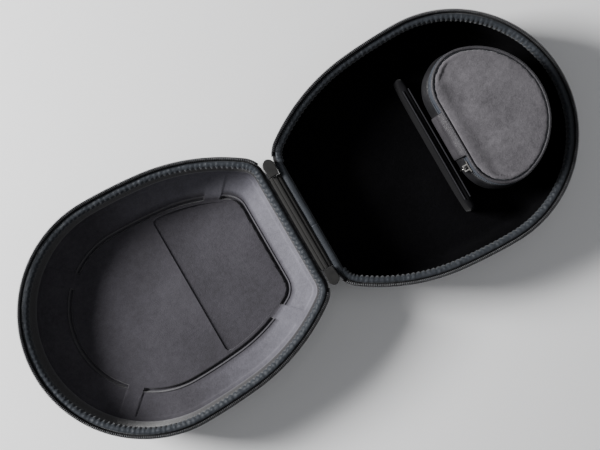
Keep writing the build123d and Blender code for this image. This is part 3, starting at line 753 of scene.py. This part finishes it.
# %% The divider
low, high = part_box("divider_pad")
DIVIDER_SWELL, END_DROP, END_REACH = 1.1 * MM, 9 * MM, 12 * MM
block_size = [high[i] - low[i] - 2 * DIVIDER_SWELL for i in range(3)]
block = chamfered("divider_cushion", block_size, (low + high) / 2, 2 * MM, 2)
edit(block)
bpy.ops.mesh.select_all(action="SELECT")
for side_y in (-1, 1):
    for reach in (END_REACH, END_REACH / 2):
        cut_y = side_y * (high.y - reach)
        bpy.ops.mesh.select_all(action="SELECT")
        bpy.ops.mesh.bisect(plane_co=(0, cut_y, 0), plane_no=(0, 1, 0))
for reach, drop in ((END_REACH / 2 + 0.5 * MM, END_DROP / 4), (3 * MM, 3 * END_DROP / 4)):
    pick(block, lambda co: abs(co.y) > high.y - reach and co.z > 35 * MM)
    bpy.ops.transform.translate(value=(0, 0, -drop))
close_edit()
divider = inflated(block, 2.4 * MM, 3.0, DIVIDER_SWELL)
place(divider, "base", "divider_suede", "divider_pad")

# %% [markdown]
# A thin cord is sewn into the seam along each of the divider's top edges.

# %% The divider's piping
CORD_R, CORD_SIDES, CORD_FROM_TOP = 0.55 * MM, 8, 1.3 * MM
cord_half = high.y - END_REACH - 1 * MM
middle_x, cord_off = (low.x + high.x) / 2, (high.x - low.x) / 2 - 1.0 * MM
cords = []
for number, sign in enumerate((-1, 1)):
    centre_x, centre_z = middle_x + sign * cord_off, high.z - CORD_FROM_TOP
    ring = [
        (centre_x + CORD_R * cos(turned), -cord_half, centre_z + CORD_R * sin(turned))
        for turned in (2 * pi * k / CORD_SIDES for k in range(CORD_SIDES))
    ]
    cord = drawn(f"divider_piping_{number}", ring, closed=True)
    filled_and_raised(cord, (0, 2 * cord_half, 0))
    cords.append(cord)
only(cords[0])
cords[1].select_set(True)
bpy.ops.object.join()
divider_piping = cords[0]
divider_piping.name = "divider_piping"
soft_shade(divider_piping, 60)
place(divider_piping, "base", "divider_suede")

# %% [markdown]
# The hinge is a strip of cloth that arches over the gap between the cups. On the case it rolls as the lid
# swings.
# Here it is one sheet with rows enough across it for a smooth arch, drawn at rest.

# %% The hinge cloth
def thickened(sheet, thickness):
    """Gives a sheet its thickness, half of it on each side, and rounds its facets."""
    add(sheet, ("SOLIDIFY", {"thickness": thickness, "offset": 0}))
    add(sheet, ("SUBSURF", {"levels": 2, "render_levels": 2}))


low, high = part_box("hinge_strip")
ARCH = (
    (-4.6, 52.6), (-4.3, 54.4), (-3.5, 55.9), (-2.3, 56.0), (-1.9, 55.5), (-1.2, 56.6), (0.0, 57.0),
    (1.2, 56.6), (1.9, 55.5), (2.3, 56.0), (3.5, 55.9), (4.3, 54.4), (4.6, 52.6),
)
strip = drawn("hinge_cloth_strip", [(x * MM, low.y, z * MM) for x, z in ARCH])
bpy.ops.mesh.select_all(action="SELECT")
for part in (0.02, 0.03, 0.9, 0.03, 0.02):
    bpy.ops.mesh.extrude_region_move(TRANSFORM_OT_translate={"value": (0, part * (high.y - low.y), 0)})
pick(strip, lambda co: min(co.y - low.y, high.y - co.y) < 2.5 * MM and co.z > 54 * MM)
bpy.ops.transform.translate(value=(0, 0, -0.35 * MM))
close_edit()
outward(strip)
thickened(strip, 0.7 * MM)
soft_shade(strip, 80)
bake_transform(strip)
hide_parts("hinge_strip")

# %% [markdown]
# The pouch is a small soft clamshell. Its lower half is a cup of black leather: one wall spun round two arcs,
# closed underneath, and given thickness. A slow noise pushes the wall in and out a little.

# %% The pouch's lower half
POUCH_TIP = POUCH_BACK_X + POUCH_BACK_R
CUP_WALL = (
    (2.2, 57.2), (1.6, 56.4), (1.0, 52.5), (0.3, 48.5), (0.0, 44.0), (0.6, 38.5),
    (1.7, 33.0), (3.2, 28.0), (4.6, 25.3), (7.5, 24.5), (13.0, 24.4),
)
LEAN_FROM, LEAN_RISE = 44 * MM, 13 * MM


def leaned(piece):
    """Leans a pouch piece away from the hinge: not at all low on the wall, and fully at its top."""
    for vertex in piece.data.vertices:
        share = min(1, max(0, (vertex.co.z - LEAN_FROM) / LEAN_RISE))
        vertex.co.x += POUCH_LEAN * share


pouch_wall = spun(drawn("pouch_cup_suede", far_profile(CUP_WALL, POUCH_TIP)), pouch_arcs(), 4 * MM)
edit(pouch_wall, "EDGE")
bpy.ops.mesh.select_non_manifold()
pick(pouch_wall, lambda co: co.z < 24.45 * MM)
bpy.ops.mesh.edge_face_add()
bpy.ops.mesh.select_mode(type="FACE")
close_edit()
leaned(pouch_wall)
outward(pouch_wall)
noisy(pouch_wall, 22 * MM, 1.5 * MM)
add(
    pouch_wall,
    ("SOLIDIFY", {"thickness": 1.6 * MM, "offset": -1}),
    ("BEVEL", {"width": 0.5 * MM, "segments": 2, "limit_method": "ANGLE", "angle_limit": radians(50)}),
    ("SUBSURF", {"levels": 1, "render_levels": 1}),
)
soft_shade(pouch_wall, 60)
place(pouch_wall, "pouch", "pouch_leather", "pouch_cup")

# %% [markdown]
# The top is a padded suede panel. Its outline is spun, filled, given a little depth, and then blown up as
# cloth that is held along its seam. It sinks a little behind its front edge, and a slow noise leaves it uneven.

# %% The pouch's top panel
TOP_INSET, TOP_SEAM, TOP_LOW, TOP_HIGH = 5.0, 2.6, 70.6, 72.8


def in_top_seam(co):
    """Whether a place lies in the seam round the pouch's top panel."""
    depth = depth_inside(co.x - POUCH_LEAN, co.y, pouch_arcs(), POUCH_FRONT_X)
    return depth < (TOP_INSET + TOP_SEAM) * MM


panel = spun(drawn("pouch_top_suede", far_profile([(TOP_INSET, TOP_LOW)], POUCH_TIP)), pouch_arcs(), 4 * MM)
edit(panel)
filled_and_raised(panel, (0, 0, (TOP_HIGH - TOP_LOW) * MM))
panel.data.transform(Matrix.Translation((POUCH_LEAN, 0, 0)))
softened = {"width": 1.1 * MM, "segments": 2, "limit_method": "ANGLE", "angle_limit": radians(50)}
add(panel, ("BEVEL", softened))
top_panel = inflated(panel, 2.0 * MM, 2.5, 2.6 * MM, sewn=in_top_seam)
HOLLOW, HOLLOW_START, HOLLOW_WIDTH = 1.3 * MM, 6 * MM, 9 * MM
for vertex in top_panel.data.vertices:
    behind = vertex.co.x - POUCH_FRONT_X - TOP_INSET * MM - HOLLOW_START
    if vertex.co.z > TOP_HIGH * MM and not in_top_seam(vertex.co):
        dent = soft_step(behind, HOLLOW_WIDTH) - soft_step(behind - HOLLOW_WIDTH, 2 * HOLLOW_WIDTH)
        vertex.co.z -= HOLLOW * dent
noisy(top_panel, 26 * MM, 1.6 * MM, height_only=True)
place(top_panel, "pouch_lid", "pouch_suede", "pouch_top_panel")

# %% [markdown]
# A rolled leather edge is sewn between the panel and the zip tape. It is a round section spun round the
# same arcs.

# %% The rolled edge
PIPING_R, PIPING_STEPS = 1.3 * MM, 10
PIPING_INSET, PIPING_Z = 3.5 * MM, 71.2 * MM


section = [
    (POUCH_TIP - PIPING_INSET + PIPING_R * cos(turned), 0, PIPING_Z + PIPING_R * sin(turned))
    for turned in (2 * pi * k / PIPING_STEPS for k in range(PIPING_STEPS))
]
roll = drawn("pouch_rolled_edge", section, closed=True)
spun(roll, pouch_arcs(), 2.5 * MM)
roll.data.transform(Matrix.Translation((POUCH_LEAN, 0, 0)))
outward(roll)
soft_shade(roll, 80)
place(roll, "pouch_lid", "pouch_piping", "pouch_piping")

# %% [markdown]
# The pouch's zip is a finer coil that lies flat. Each row stops short of the leather spine at the front.

# %% The pouch's coils
POUCH_TOOTH_PITCH = 1.5 * MM
POUCH_TOOTH = (TOOTH_SHARE * POUCH_TOOTH_PITCH, 1.5 * MM, 1.9 * MM)
POUCH_COIL_INSET = 2.4 * MM
SPINE_HALF = 19.5 * MM
for row_name, z, body, offset in (("lower", 60.6, "pouch", 0.25), ("upper", 63.4, "pouch_lid", 0.75)):
    bead = chamfered(f"pouch_{row_name}_teeth", POUCH_TOOTH, (0, 0, z * MM), 0.25 * MM)
    teeth = row(bead, POUCH_TOOTH_PITCH, pouch_arcs(), POUCH_TIP, POUCH_COIL_INSET, offset=offset)
    teeth.data.transform(Matrix.Translation((POUCH_LEAN, 0, 0)))
    soft_shade(teeth, 50)
    place(teeth, body, "pouch_coil", f"pouch_coil_{row_name}")

# %% [markdown]
# The leather spine at the front is the pouch's own hinge. It bulges out over the fold, with a sewn edge at
# each end.

# %% The pouch's spine
low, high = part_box("pouch_spine")
FOLD = (
    (-3.7, 43.0), (-3.3, 46.5), (-2.7, 49.5), (-1.9, 52.5), (-1.1, 55.5), (-1.0, 58.0), (-1.4, 60.0),
    (-1.9, 62.5), (-1.7, 65.0), (-0.8, 67.2), (0.6, 69.2), (1.8, 70.4),
)
spine_x = POUCH_FRONT_X + POUCH_LEAN + 2 * MM
spine = drawn("pouch_spine_leather", [(spine_x + (x - 0.6) * MM, -SPINE_HALF, z * MM) for x, z in FOLD])
bpy.ops.mesh.select_all(action="SELECT")
for part in (0.03, 0.03, 0.22, 0.22, 0.22, 0.22, 0.03, 0.03):
    bpy.ops.mesh.extrude_region_move(TRANSFORM_OT_translate={"value": (0, part * 2 * SPINE_HALF, 0)})
pick(spine, lambda co: abs(co.y) < 0.9 * SPINE_HALF and 45 * MM < co.z < 69 * MM)
bpy.ops.transform.translate(value=(-0.7 * MM, 0, 0))
close_edit()
outward(spine)
noisy(spine, 9 * MM, 1.2 * MM)
thickened(spine, 1.2 * MM)
soft_shade(spine, 80)
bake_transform(spine)
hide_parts("pouch_spine")

# %% [markdown]
# ## Finishes
# Shader maths reads best as ordinary expressions, so a small class wraps a socket and gives it + - * and /.
# One paint box per material adds any other node.


# %% A paint box for materials
class Number:
    """A number that changes over a surface, as the output of a node."""

    def __init__(self, box, socket):
        self.box, self.socket = box, socket

    def _with(self, operation, first, second=None):
        values = [first] if second is None else [first, second]
        return self.box.node("ShaderNodeMath", {"operation": operation}, *values)

    def __add__(self, other):
        return self._with("ADD", self, other)

    def __sub__(self, other):
        return self._with("SUBTRACT", self, other)

    def __rsub__(self, other):
        return self._with("SUBTRACT", other, self)

    def __mul__(self, other):
        return self._with("MULTIPLY", self, other)

    def __truediv__(self, other):
        return self._with("DIVIDE", self, other)

    __radd__, __rmul__ = __add__, __mul__

    def sine(self):
        return self._with("SINE", self)

    def between(self, low, high):
        """The number stretched so that low becomes 0 and high becomes 1, and held there."""
        settings = {"clamp": True}
        return self.box.node("ShaderNodeMapRange", settings, self, low, high, 0.0, 1.0)


class Finish:
    """A material and its paint box."""

    def __init__(self, name, roughness, **constants):
        self.material = bpy.data.materials.new(name)
        self.material.use_nodes = True
        self.nodes = self.material.node_tree.nodes
        self.links = self.material.node_tree.links
        self.shader = self.nodes["Principled BSDF"]
        self.shader.inputs["Roughness"].default_value = roughness
        for socket, value in constants.items():
            self.shader.inputs[socket.replace("_", " ")].default_value = value
        self.place = self.node("ShaderNodeTexCoord", {}, output="Object")

    def node(self, kind, settings, *values, output=0):
        """Adds a node, sets it, and feeds its sockets in order."""
        node = self.nodes.new(kind)
        for key, value in settings.items():
            setattr(node, key, value)
        sockets = [s for s in node.inputs if s.enabled]
        for socket, value in zip(sockets, values):
            if isinstance(value, Number):
                self.links.new(value.socket, socket)
            else:
                socket.default_value = value
        outputs = [s for s in node.outputs if s.enabled]
        chosen = node.outputs[output] if isinstance(output, str) else outputs[output]
        return Number(self, chosen)

    def noise(self, scale, detail=3.0, rough=0.5):
        """Fine or slow noise, from 0 to 1, with scale in lumps per metre."""
        return self.node("ShaderNodeTexNoise", {}, self.place, float(scale), detail, rough)

    def cells(self, scale):
        """How far a place is from the edge of its cell, with scale in cells per metre."""
        return self.node("ShaderNodeTexVoronoi", {"feature": "DISTANCE_TO_EDGE"}, self.place, float(scale))

    def axis(self, name):
        return self.node("ShaderNodeSeparateXYZ", {}, self.place, output=name)

    def mix(self, amount, first, second):
        """One colour turning into another as amount goes from 0 to 1."""
        ends = [colour if isinstance(colour, Number) else (*colour, 1) for colour in (first, second)]
        return self.node("ShaderNodeMix", {"data_type": "RGBA"}, amount, *ends)

    def colour(self, value):
        if isinstance(value, Number):
            self.links.new(value.socket, self.shader.inputs["Base Color"])
        else:
            self.shader.inputs["Base Color"].default_value = (*value, 1)

    def roughness(self, value):
        self.links.new(value.socket, self.shader.inputs["Roughness"])

    def relief(self, height, depth, strength=1.0):
        """Raises the surface by height times depth."""
        bump = self.nodes.new("ShaderNodeBump")
        bump.inputs["Strength"].default_value = strength
        bump.inputs["Distance"].default_value = depth
        self.links.new(height.socket, bump.inputs["Height"])
        self.links.new(bump.outputs["Normal"], self.shader.inputs["Normal"])


def dress(finish, *pieces):
    for piece in pieces:
        piece = NODES.get(piece) or bpy.data.objects[piece]
        piece.data.materials.clear()
        piece.data.materials.append(finish.material)
    print(finish.material.name, "on", len(pieces))


# %% [markdown]
# Suede is a short nap. It is never one grey: slow clouds show where the nap has been brushed one way or the
# other, and fine specks are the fibres themselves. A little sheen lightens it at grazing angles.


# %% Suede
def suede(name, dark, light, sheen, brushed=28, specular=0.2, ring=None, wall=None):
    """Nap over cloth. A ring gets a painted highlight towards the hinge, and a wall is made darker above it."""
    finish = Finish(name, 0.92, Sheen_Weight=sheen, Sheen_Roughness=0.45, Specular_IOR_Level=specular)
    clouds = finish.noise(brushed, 4.0, 0.55)
    tufts = finish.noise(260, 3.0, 0.6)
    fibres = finish.noise(1100, 2.0, 0.6)
    amount = (clouds * 0.65 + tufts * 0.4 + fibres * 0.5).between(0.45, 1.05)
    shade = finish.mix(amount, dark, light)
    # Painted light: the ring's slope on the hinge side, which faces the light, is painted lighter.
    if ring:
        low, high, far, near, colour = ring
        lit_share = finish.axis("Z").between(low, high) * finish.axis("X").between(far, near)
        shade = finish.mix(lit_share * (0.35 + amount * 0.5), shade, colour)
    # The wall is made darker from its low height up to its high one.
    if wall:
        low, high, colour = wall
        shade = finish.mix(finish.axis("Z").between(low, high), shade, colour)
    finish.colour(shade)
    finish.relief(fibres + finish.noise(500, 2.0) * 0.7, 0.25 * MM, 0.9)
    return finish


# Painted highlight on the lid's ring, lighter towards the hinge where the light falls on its slope.
ring_painted_light = (10.3 * MM, 11.6 * MM, -150 * MM, -20 * MM, (0.230, 0.225, 0.262))
# The lid tray's wall, above the ring, is made darker.
darker_wall = (18.5 * MM, 24 * MM, (0.011, 0.0095, 0.011))
lid_greys = (0.026, 0.024, 0.028), (0.070, 0.066, 0.077)
lid_finish = suede("lid_suede", *lid_greys, 0.30, 22, ring=ring_painted_light, wall=darker_wall)
base_finish = suede("base_suede", (0.0015, 0.0015, 0.0018), (0.005, 0.0048, 0.0055), 0.0, 24, 0.03)
divider_finish = suede("divider_suede", (0.0025, 0.0025, 0.003), (0.007, 0.0068, 0.008), 0.05, 40, 0.08)
pouch_finish = suede("pouch_suede", (0.050, 0.047, 0.052), (0.165, 0.155, 0.168), 0.35, 34)
dress(lid_finish, "lid_tray_suede")
dress(base_finish, "base_tray_suede")
dress(divider_finish, "divider_cushion")
# The cords are piping; their lighter grey is partly a painted highlight along the divider's rounded top edges.
dress(suede("divider_cord", (0.012, 0.012, 0.014), (0.032, 0.031, 0.036), 0.1, 90), "divider_piping")
dress(pouch_finish, "pouch_top_suede")

# %% [markdown]
# The other cloths are woven. Two crossed ripples, a fraction of a millimetre apart, raise the threads,
# and noise keeps them from looking printed.


# %% Woven cloths
def woven(name, dark, light, threads, roughness, depth, sheen=0.1):
    """Cloth of crossed threads, with threads counted per metre."""
    finish = Finish(name, roughness, Sheen_Weight=sheen, Specular_IOR_Level=0.3)
    around = finish.axis("X") + finish.axis("Y")
    across = finish.axis("X") - finish.axis("Y")
    weave = (around * (pi * threads)).sine() * ((across + finish.axis("Z") * 1.4) * (pi * threads)).sine()
    fuzz = finish.noise(900, 3.0, 0.6)
    amount = (weave * 0.25 + fuzz * 0.8 + finish.noise(45, 3.0) * 0.35).between(0.2, 1.0)
    finish.colour(finish.mix(amount, dark, light))
    finish.relief(weave * 0.5 + fuzz * 0.6, depth)
    return finish


shell_finish = woven("cup_cloth", (0.012, 0.012, 0.013), (0.034, 0.033, 0.035), 1100, 0.85, 0.16 * MM, 0.15)
tape_finish = woven("zip_tape_weave", (0.008, 0.008, 0.009), (0.022, 0.022, 0.024), 900, 0.8, 0.2 * MM)
nylon_finish = woven("gathered_nylon", (0.008, 0.010, 0.013), (0.032, 0.038, 0.048), 1700, 0.5, 0.08 * MM, 0.2)
hinge_finish = woven("hinge_cloth_weave", (0.007, 0.007, 0.007), (0.020, 0.019, 0.0175), 1000, 0.8, 0.18 * MM)
twill_blues = (0.022, 0.026, 0.034), (0.062, 0.070, 0.088)
pouch_tape_finish = woven("pouch_tape_twill", *twill_blues, 1100, 0.75, 0.15 * MM)
dress(shell_finish, "base_shell", "lid_shell")
dress(tape_finish, "base_zip_tape", "lid_zip_tape")
dress(nylon_finish, "base_band_pleats", "lid_band_pleats", "base_binding")
dress(hinge_finish, "hinge_cloth_strip", "base_hinge_flap", "lid_hinge_flap")
dress(pouch_tape_finish, "pouch_tape_lower", "pouch_tape_upper")

# %% [markdown]
# Leather has a grain of small cells with creases between them. This is a smooth hide, so its grain is shallow.

# %% Leather
def hide(name, dark, light, rough):
    """Leather with a shallow grain."""
    finish = Finish(name, rough, Specular_IOR_Level=0.45)
    grain = finish.cells(1100)
    tone = (finish.noise(60, 4.0) * 0.8 + grain * 0.5).between(0.2, 0.9)
    finish.colour(finish.mix(tone, dark, light))
    finish.roughness(finish.noise(120, 3.0) * 0.25 + (rough - 0.12))
    finish.relief(grain.between(0.0, 0.25) + finish.noise(700, 2.0) * 0.3, 0.12 * MM)
    return finish


spine_leather = hide("pouch_leather", (0.026, 0.024, 0.027), (0.085, 0.080, 0.088), 0.45)
black_leather = hide("pouch_black_leather", (0.006, 0.006, 0.007), (0.022, 0.021, 0.024), 0.52)
edge_leather = hide("pouch_edge_leather", (0.020, 0.019, 0.022), (0.070, 0.066, 0.074), 0.50)
dress(spine_leather, "pouch_spine_leather")
dress(black_leather, "pouch_cup_suede")
dress(edge_leather, "pouch_rolled_edge")

# %% [markdown]
# The coils are nylon, the main sliders are lacquered dark, and the pouch's slider is plated and bright.
# Handling leaves faint rubs, so each roughness changes slowly over the piece.


# %% Plastics and metals
def hard(name, dark, light, roughness, spread, metallic=0.0):
    """A hard finish whose roughness varies by its spread."""
    finish = Finish(name, roughness, Metallic=metallic)
    rubs = finish.noise(260, 4.0, 0.6)
    finish.colour(finish.mix(rubs.between(0.3, 0.8), dark, light))
    finish.roughness(rubs * spread + (roughness - spread / 2))
    finish.relief(finish.noise(2400, 2.0), 0.02 * MM)
    return finish


coil_finish = hard("nylon_coil", (0.020, 0.020, 0.021), (0.075, 0.075, 0.080), 0.36, 0.2)
pouch_coil_finish = hard("pouch_nylon_coil", (0.026, 0.029, 0.036), (0.060, 0.066, 0.080), 0.45, 0.2)
lacquer = hard("dark_lacquer", (0.006, 0.0057, 0.0054), (0.015, 0.0144, 0.0135), 0.55, 0.16, 0.1)
plating = hard("bright_plating", (0.42, 0.41, 0.39), (0.62, 0.60, 0.57), 0.28, 0.14, 1.0)
dress(coil_finish, "base_zip_teeth", "lid_zip_teeth", "zip_end_left", "zip_end_right")
dress(pouch_coil_finish, "pouch_lower_teeth", "pouch_upper_teeth")
dress(lacquer, "zip_slider_left", "zip_slider_right", "pull_tab_left", "pull_tab_right")
dress(plating, "pouch_slider", "pouch_pull")

# %% [markdown]
# ## The studio
# The case lies on a plain pale floor. The main light comes from beyond the lid, as through a tall window,
# with a weaker fill opposite and a soft overhead.

# %% Floor, light and camera
bpy.ops.object.select_all(action="DESELECT")
bpy.ops.mesh.primitive_plane_add(size=8, location=(0, 0, 0))
floor = bpy.context.object
floor.name = "floor"
floor_finish = Finish("floor_paint", 0.8)
floor_finish.colour((0.93, 0.93, 0.93))
floor.data.materials.append(floor_finish.material)


def lamp(name, place, size, power):
    """A square soft light aimed at the case."""
    bpy.ops.object.light_add(type="AREA", location=place)
    light = bpy.context.object
    light.name = name
    light.data.size, light.data.energy = size, power
    light.rotation_euler = (-Vector(place)).to_track_quat("-Z", "Y").to_euler()


lamp("window", (-1.10, 0.86, 0.84), 0.5, 64)
lamp("fill", (0.9, -0.7, 1.3), 1.2, 1.5)
lamp("overhead", (0.1, -0.2, 2.0), 1.6, 4)
world = bpy.context.scene.world or bpy.data.worlds.new("studio")
bpy.context.scene.world = world
world.use_nodes = True
world.node_tree.nodes["Background"].inputs[0].default_value = (0.9, 0.93, 1.0, 1)
world.node_tree.nodes["Background"].inputs[1].default_value = 0.13

# %% [markdown]
# The camera looks straight down from about a metre, turned so that the case lies corner to corner.

# %% The camera
CAMERA_HEIGHT, CAMERA_TURN, CAMERA_TILT = 0.98, radians(-30), radians(2.6)
VIEW_WIDTH, VIEW_LEFT, VIEW_DOWN = 480 * MM, 0.8 * MM, 2.4 * MM
right = Vector((cos(CAMERA_TURN), sin(CAMERA_TURN), 0))
up = Vector((-right.y, right.x, 0))
target = Vector((0, 0, AXIS_Z)) - right * VIEW_LEFT - up * VIEW_DOWN
away = Vector((-sin(CAMERA_TILT), 0, cos(CAMERA_TILT)))
bpy.ops.object.camera_add(location=target + away * CAMERA_HEIGHT)
camera = bpy.context.object
ahead = (target - camera.location).normalized()
camera_up = (up - ahead * up.dot(ahead)).normalized()
camera.rotation_euler = Matrix((ahead.cross(camera_up), camera_up, -ahead)).transposed().to_euler()
camera.data.lens = camera.data.sensor_width * CAMERA_HEIGHT / VIEW_WIDTH
bpy.context.scene.camera = camera
print("lens", round(camera.data.lens, 1))
